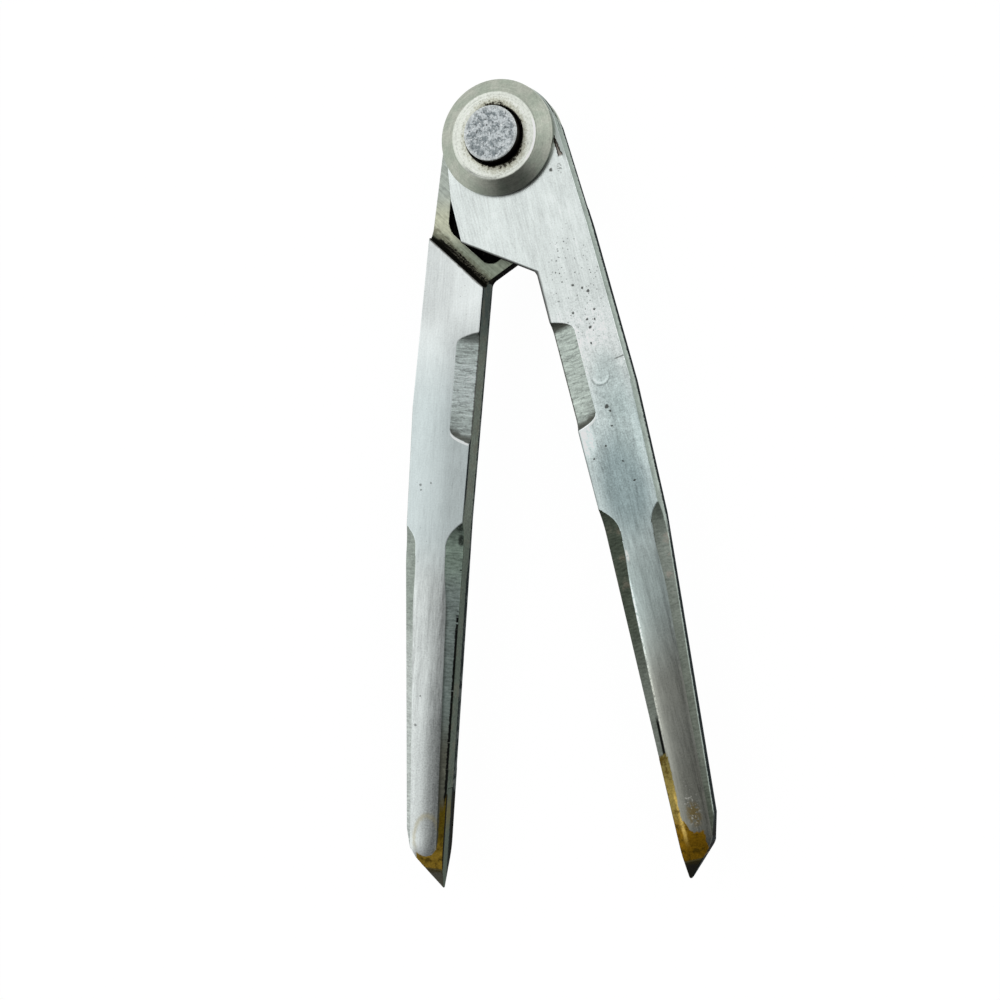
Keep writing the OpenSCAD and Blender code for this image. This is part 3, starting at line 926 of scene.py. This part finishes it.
def shoulder_finish(leg):
    f = LegFinish(leg.name + "_grimy_shoulder", leg, metallic=0.2, roughness=0.8)
    dirt = f.noise(f.solid, 1.4, 4.0, 0.6)
    colour = f.blend(f.rise(dirt, 0.5, 0.75), (0.005, 0.005, 0.005), (0.04, 0.038, 0.028))
    f.shade(Base_Color=colour)
    return f.material


def point_finish(leg):
    f = LegFinish(leg.name + "_ground_carbide", leg, roughness=0.45)
    grain = f.noise(f.solid, 2.5, 3.0)
    side = 1 - f.rise(f.across - f.inner_edge, 0.03, 0.1)
    front = (0.05, 0.048, 0.04) if leg.side > 0 else (0.17, 0.165, 0.125)
    front = f.blend(f.rise(f.along + 2 * (grain - 0.5), 147.4, 146.2), front, (0.10, 0.08, 0.03))
    # The inner side is tinted by the braze
    tinted = f.blend(f.rise(f.along, 130.5, 134.5), (0.085, 0.11, 0.085), (0.13, 0.12, 0.05))
    tinted = f.blend(f.rise(f.along, 134.5, 140), tinted, (0.085, 0.11, 0.085))
    tone = f.blend(side, front, tinted)
    edge = side * (1 - f.rise(f.up + 0.6 * (grain - 0.5), -1.0, -0.5))
    if leg.side > 0:
        # The slanted edge to the point is painted near black
        edge = edge.most(f.slant())
    tone = f.blend(edge, tone, (0.012, 0.016, 0.015))
    f.shade(Base_Color=f.scaled(tone, 1 + 0.6 * (grain - 0.5)), Metallic=1 - 0.85 * edge.most(0.8 * side))
    f.shade(Normal=f.bump(grain, 0.2, FINE_BUMP))
    return f.material


def braze_finish(leg):
    f = LegFinish(leg.name + "_braze", leg, roughness=0.45)
    lump = f.noise(f.solid, 0.8, 4.0, 0.6)
    side = 1 - f.rise(f.across - f.inner_edge, 0.03, 0.1)
    colour = f.blend(side, f.brass(), (0.012, 0.012, 0.009))
    f.shade(Base_Color=colour, Metallic=0.5 - 0.4 * side, Normal=f.bump(lump, 0.4, 0.05 * MM))
    return f.material


# Finishes of the collars, pin and washer


def collar_finish():
    f = RoundFinish("turned_collar")
    lathe = f.noise(f.vector(f.radius * 5.0, f.right * 0.12, f.away * 0.12), 1.0, 3.0, 0.6)
    cloud = f.noise(f.solid, 0.3, 3.0)
    dirt = f.noise(f.solid, 1.4, 4.0, 0.7)
    grain = f.noise(f.solid, 2.8, 3.0)
    ring = 1 - f.rise(f.radius, 8.55, 8.85)
    cone = f.blend(f.rise(cloud, 0.35, 0.65), (0.41, 0.46, 0.385), (0.49, 0.515, 0.445))
    tone = f.blend(ring, cone, (0.89, 0.93, 0.85))
    groove = f.rise((f.radius - 8.1).size(), 0.25, 0.0)
    level = 1 + 0.5 * (lathe - 0.5) + 0.55 * (dirt - 0.5) + 0.4 * (grain - 0.5) - 0.1 * groove
    # Painted shade on one side of the rim of the flat ring and a painted highlight on another
    rim = f.rise((f.radius - 8.5).size(), 0.35, 0.15)
    shaded = f.rise((-0.42 * f.right - 0.91 * f.away) / f.radius, 0.82, 0.97)
    lit = f.rise((0.97 * f.right - 0.26 * f.away) / f.radius, 0.8, 0.97)
    colour = f.scaled(tone, level + rim * (0.3 * lit - 0.4 * shaded))
    # Dirt and the pin's painted shadow creep out from the pin, furthest below and above it
    below = (0.35 * f.right - 0.94 * f.away) / f.radius
    above = f.away / f.radius
    beside = (0.7 * f.right + 0.7 * f.away) / f.radius
    dirt_and_shadow_creep = 0.9 * f.rise(below, 0.4, 1.0) + 0.75 * f.rise(above, 0.75, 1.0)
    dirt_and_shadow_creep = dirt_and_shadow_creep + 0.15 * f.rise(beside, 0.3, 0.9)
    near = f.radius + 2.4 * (dirt - 0.5) + 1.2 * (grain - 0.5) - dirt_and_shadow_creep
    colour = f.blend(0.6 * f.rise(near, 7.3, 5.7), colour, (0.36, 0.34, 0.21))
    speck = f.rise(dirt, 0.6, 0.68) * f.rise(f.radius - dirt_and_shadow_creep, 7.8, 6.4)
    grime = (0.03, 0.027, 0.018)
    colour = f.blend(f.rise(near, 6.0, 5.4), colour, grime)
    colour = f.blend(0.85 * speck, colour, grime)
    # Painted shade on the lower side of the cone and on the collar's foot below the pin
    colour = f.scaled(colour, 1 - 0.42 * f.rise(below, 0.86, 1.0) * (1 - ring))
    foot = f.rise(f.up.size(), 4.0, 3.7) * f.rise(below, 0.5, 0.9)
    colour = f.blend(0.9 * foot, colour, (0.04, 0.04, 0.03))
    f.shade(Base_Color=colour, Roughness=0.34 + 0.15 * dirt, Normal=f.bump(lathe, 0.25, FINE_BUMP))
    return f.material


def pin_finish():
    f = RoundFinish("grainy_pin", roughness=0.5)
    coarse = f.noise(f.solid, 1.15, 3.0, 0.7)
    fine = f.noise(f.solid, 2.7, 2.0, 0.6)
    tone = f.blend(f.rise(coarse, 0.38, 0.6), (0.27, 0.31, 0.325), (0.68, 0.73, 0.745))
    tone = f.blend(0.9 * f.rise(fine, 0.40, 0.33), tone, (0.07, 0.075, 0.08))
    tone = f.blend(0.8 * f.rise(fine, 0.62, 0.70), tone, (0.95, 0.97, 0.96))
    tone = f.blend(0.6 * f.rise(f.radius, 4.7, 5.2), tone, (0.76, 0.80, 0.79))
    colour = f.scaled(tone, 1 + 0.7 * (fine - 0.5))
    # The pin's side is painted near black, for its shade with some dirt
    wall = 1 - f.rise(f.up.size(), 7.75, 7.9)
    colour = f.blend(wall, colour, (0.012, 0.01, 0.008))
    f.shade(Base_Color=colour, Normal=f.bump(coarse + 0.5 * fine, 0.4, 0.05 * MM))
    return f.material


def washer_finish():
    f = RoundFinish("rubbed_brass")
    rub = f.noise(f.vector(f.radius * 4.0, f.right * 0.1, f.away * 0.1), 1.0, 3.0)
    colour = f.blend(f.rise(rub, 0.35, 0.65), (0.55, 0.40, 0.16), (0.70, 0.54, 0.26))
    f.shade(Base_Color=colour, Roughness=0.32 + 0.2 * rub)
    return f.material


# Floor, light and camera

# Half the floor's width, how much of it glows where it is seen, and how brightly
FLOOR_REACH = 1.5
FLOOR_GLOW = 0.94
FLOOR_LEVEL = 1.03


def make_floor():
    """White floor that keeps a trace of the part's shadow."""
    form = bmesh.new()
    bmesh.ops.create_grid(form, x_segments=1, y_segments=1, size=FLOOR_REACH)
    floor = placed("floor", mesh_from(form, "floor"))
    finish = Finish("floor_white", metallic=0.0, roughness=0.9)
    finish.shade(Base_Color=(0.9, 0.9, 0.9))
    camera_ray = finish.node("ShaderNodeLightPath", output="Is Camera Ray")
    glossy_ray = finish.node("ShaderNodeLightPath", output="Is Glossy Ray")
    clear_ray = finish.node("ShaderNodeLightPath", output="Is Transmission Ray")
    seen = camera_ray.most(glossy_ray).most(clear_ray) * FLOOR_GLOW
    glow = finish.node("ShaderNodeEmission", None, {"Color": (1, 1, 1), "Strength": FLOOR_LEVEL})
    shader = Value(finish, finish.shader.outputs[0])
    mixed = finish.node("ShaderNodeMixShader", None, {0: seen, 1: shader, 2: glow})
    finish.feed(finish.tree.nodes["Material Output"].inputs["Surface"], mixed)
    set_finish(floor, finish.material)


def make_light():
    """Soft studio light from all round, brightest on the left towards the head end."""
    studio = Studio("studio")
    bpy.context.scene.world = studio.world
    right, away, up = studio.parts(studio.node("ShaderNodeTexCoord", output="Generated"))
    key = studio.rise(0.55 * away - 0.83 * right, 0.0, 0.42) * (0.8 + 0.2 * studio.rise(up, 0.2, 0.6))
    fill = studio.rise(right, 0.3, 0.65)
    near = studio.rise(-1 * away, 0.25, 0.7)
    side = studio.rise(away, -0.1, 0.3) * studio.rise(right, 0.2, 0.6)
    level = 0.24 + 0.82 * key + 0.5 * fill + 0.6 * side - 0.16 * near
    studio.shade(Color=level)


def make_camera():
    turn = Matrix.Identity(3)
    for angle, axis in zip(CAMERA_TURN, "XYZ"):
        turn = turn @ Matrix.Rotation(math.radians(angle), 3, axis)
    back = turn.transposed()
    data = bpy.data.cameras.new("camera")
    data.lens = CAMERA_LENS
    data.sensor_width = CAMERA_SENSOR
    data.clip_start = 0.01
    camera = placed("camera", data)
    camera.matrix_world = Matrix.Translation(back @ -CAMERA_OFFSET + CAMERA_TARGET) @ back.to_4x4()
    bpy.context.scene.camera = camera


# The whole scene

for leg in (Leg("front_leg", 1, "front_half"), Leg("rear_leg", -1, "rear_half")):
    # The finishes come in the order of FACE to NOTCH
    set_finish(make_leg(leg), face_finish(leg), flank_finish(leg), side_finish(leg), lap_finish(leg),
               shoulder_finish(leg), notch_finish(leg))
    set_finish(make_point(leg), point_finish(leg))
    set_finish(make_braze(leg), braze_finish(leg))
collar_steel = collar_finish()
set_finish(make_collar("front_collar", 1), collar_steel)
set_finish(make_collar("rear_collar", -1), collar_steel)
set_finish(turned("pivot_pin", PIN_OUTLINE), pin_finish())
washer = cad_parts["friction_washer"]
washer.data.materials.clear()
set_finish(washer, washer_finish())

make_floor()
make_light()
make_camera()
bpy.context.scene.view_settings.view_transform = "Standard"
